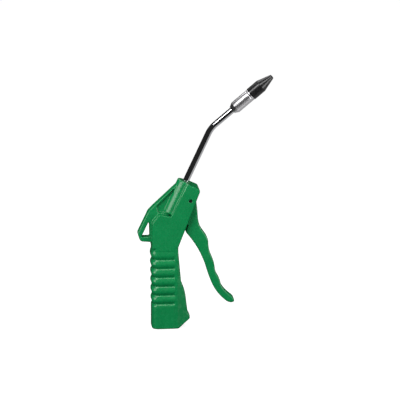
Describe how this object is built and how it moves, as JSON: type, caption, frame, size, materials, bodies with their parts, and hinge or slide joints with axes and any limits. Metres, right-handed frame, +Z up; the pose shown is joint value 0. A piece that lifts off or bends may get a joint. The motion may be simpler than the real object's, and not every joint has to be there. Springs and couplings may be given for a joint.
{
  "type": "air blow gun",
  "caption": "Hand-held compressed-air blow gun: one-piece moulded body with ribbed grip and hang loop, lever trigger, bent metal nozzle tube and rubber tip.",
  "frame": {"origin": "centre of the air inlet's mouth, on the grip's bottom face", "axes": "+Z up the grip along the inlet's axis, +X towards the trigger and the nozzle, Y across the body, mirror plane at Y = 0"},
  "size_m": [0.1289, 0.022, 0.2432],
  "materials": {
    "green_plastic": "semi-gloss moulded",
    "steel": "ground",
    "brass": "turned",
    "black_rubber": "moulded, slightly shiny",
    "chrome": "polished",
    "aluminium": "turned, fine lines"
  },
  "bodies": {
    "housing": {"body": "green_plastic", "trigger_pin": "steel", "inlet_insert": "brass", "inlet_oring": "black_rubber", "valve_bush": "brass", "bush_front_oring": "black_rubber", "bush_rear_oring": "black_rubber", "stem_oring": "black_rubber", "oring_retainer": "brass", "valve_spring": "steel", "nozzle_bush": "brass", "nozzle_oring": "black_rubber", "nozzle_tube": "chrome", "ferrule": "aluminium", "tip_nipple": "brass", "rubber_tip": "black_rubber"},
    "lever": {"trigger": "green_plastic"},
    "plunger": {"valve_stem": "steel", "valve_seal": "black_rubber", "seal_cup": "brass"}
  },
  "joints": [
    {"name": "trigger_pivot", "type": "hinge", "parent": "housing", "child": "lever", "pos_m": [0.02504, 0, 0.12484], "axis": [0, 1, 0], "range_deg": [0, 10], "stiffness_Nm_per_rad": 0.6, "springref_deg": -8.59},
    {"name": "stem_slide", "type": "slide", "parent": "housing", "child": "plunger", "axis": [-1, 0, 0], "range_m": [0, 0.004], "deforming": ["valve_spring"]}
  ],
  "couplings": [
    {"joint": "stem_slide", "follows": "trigger_pivot", "m_per_rad": 0.0225}
  ]
}
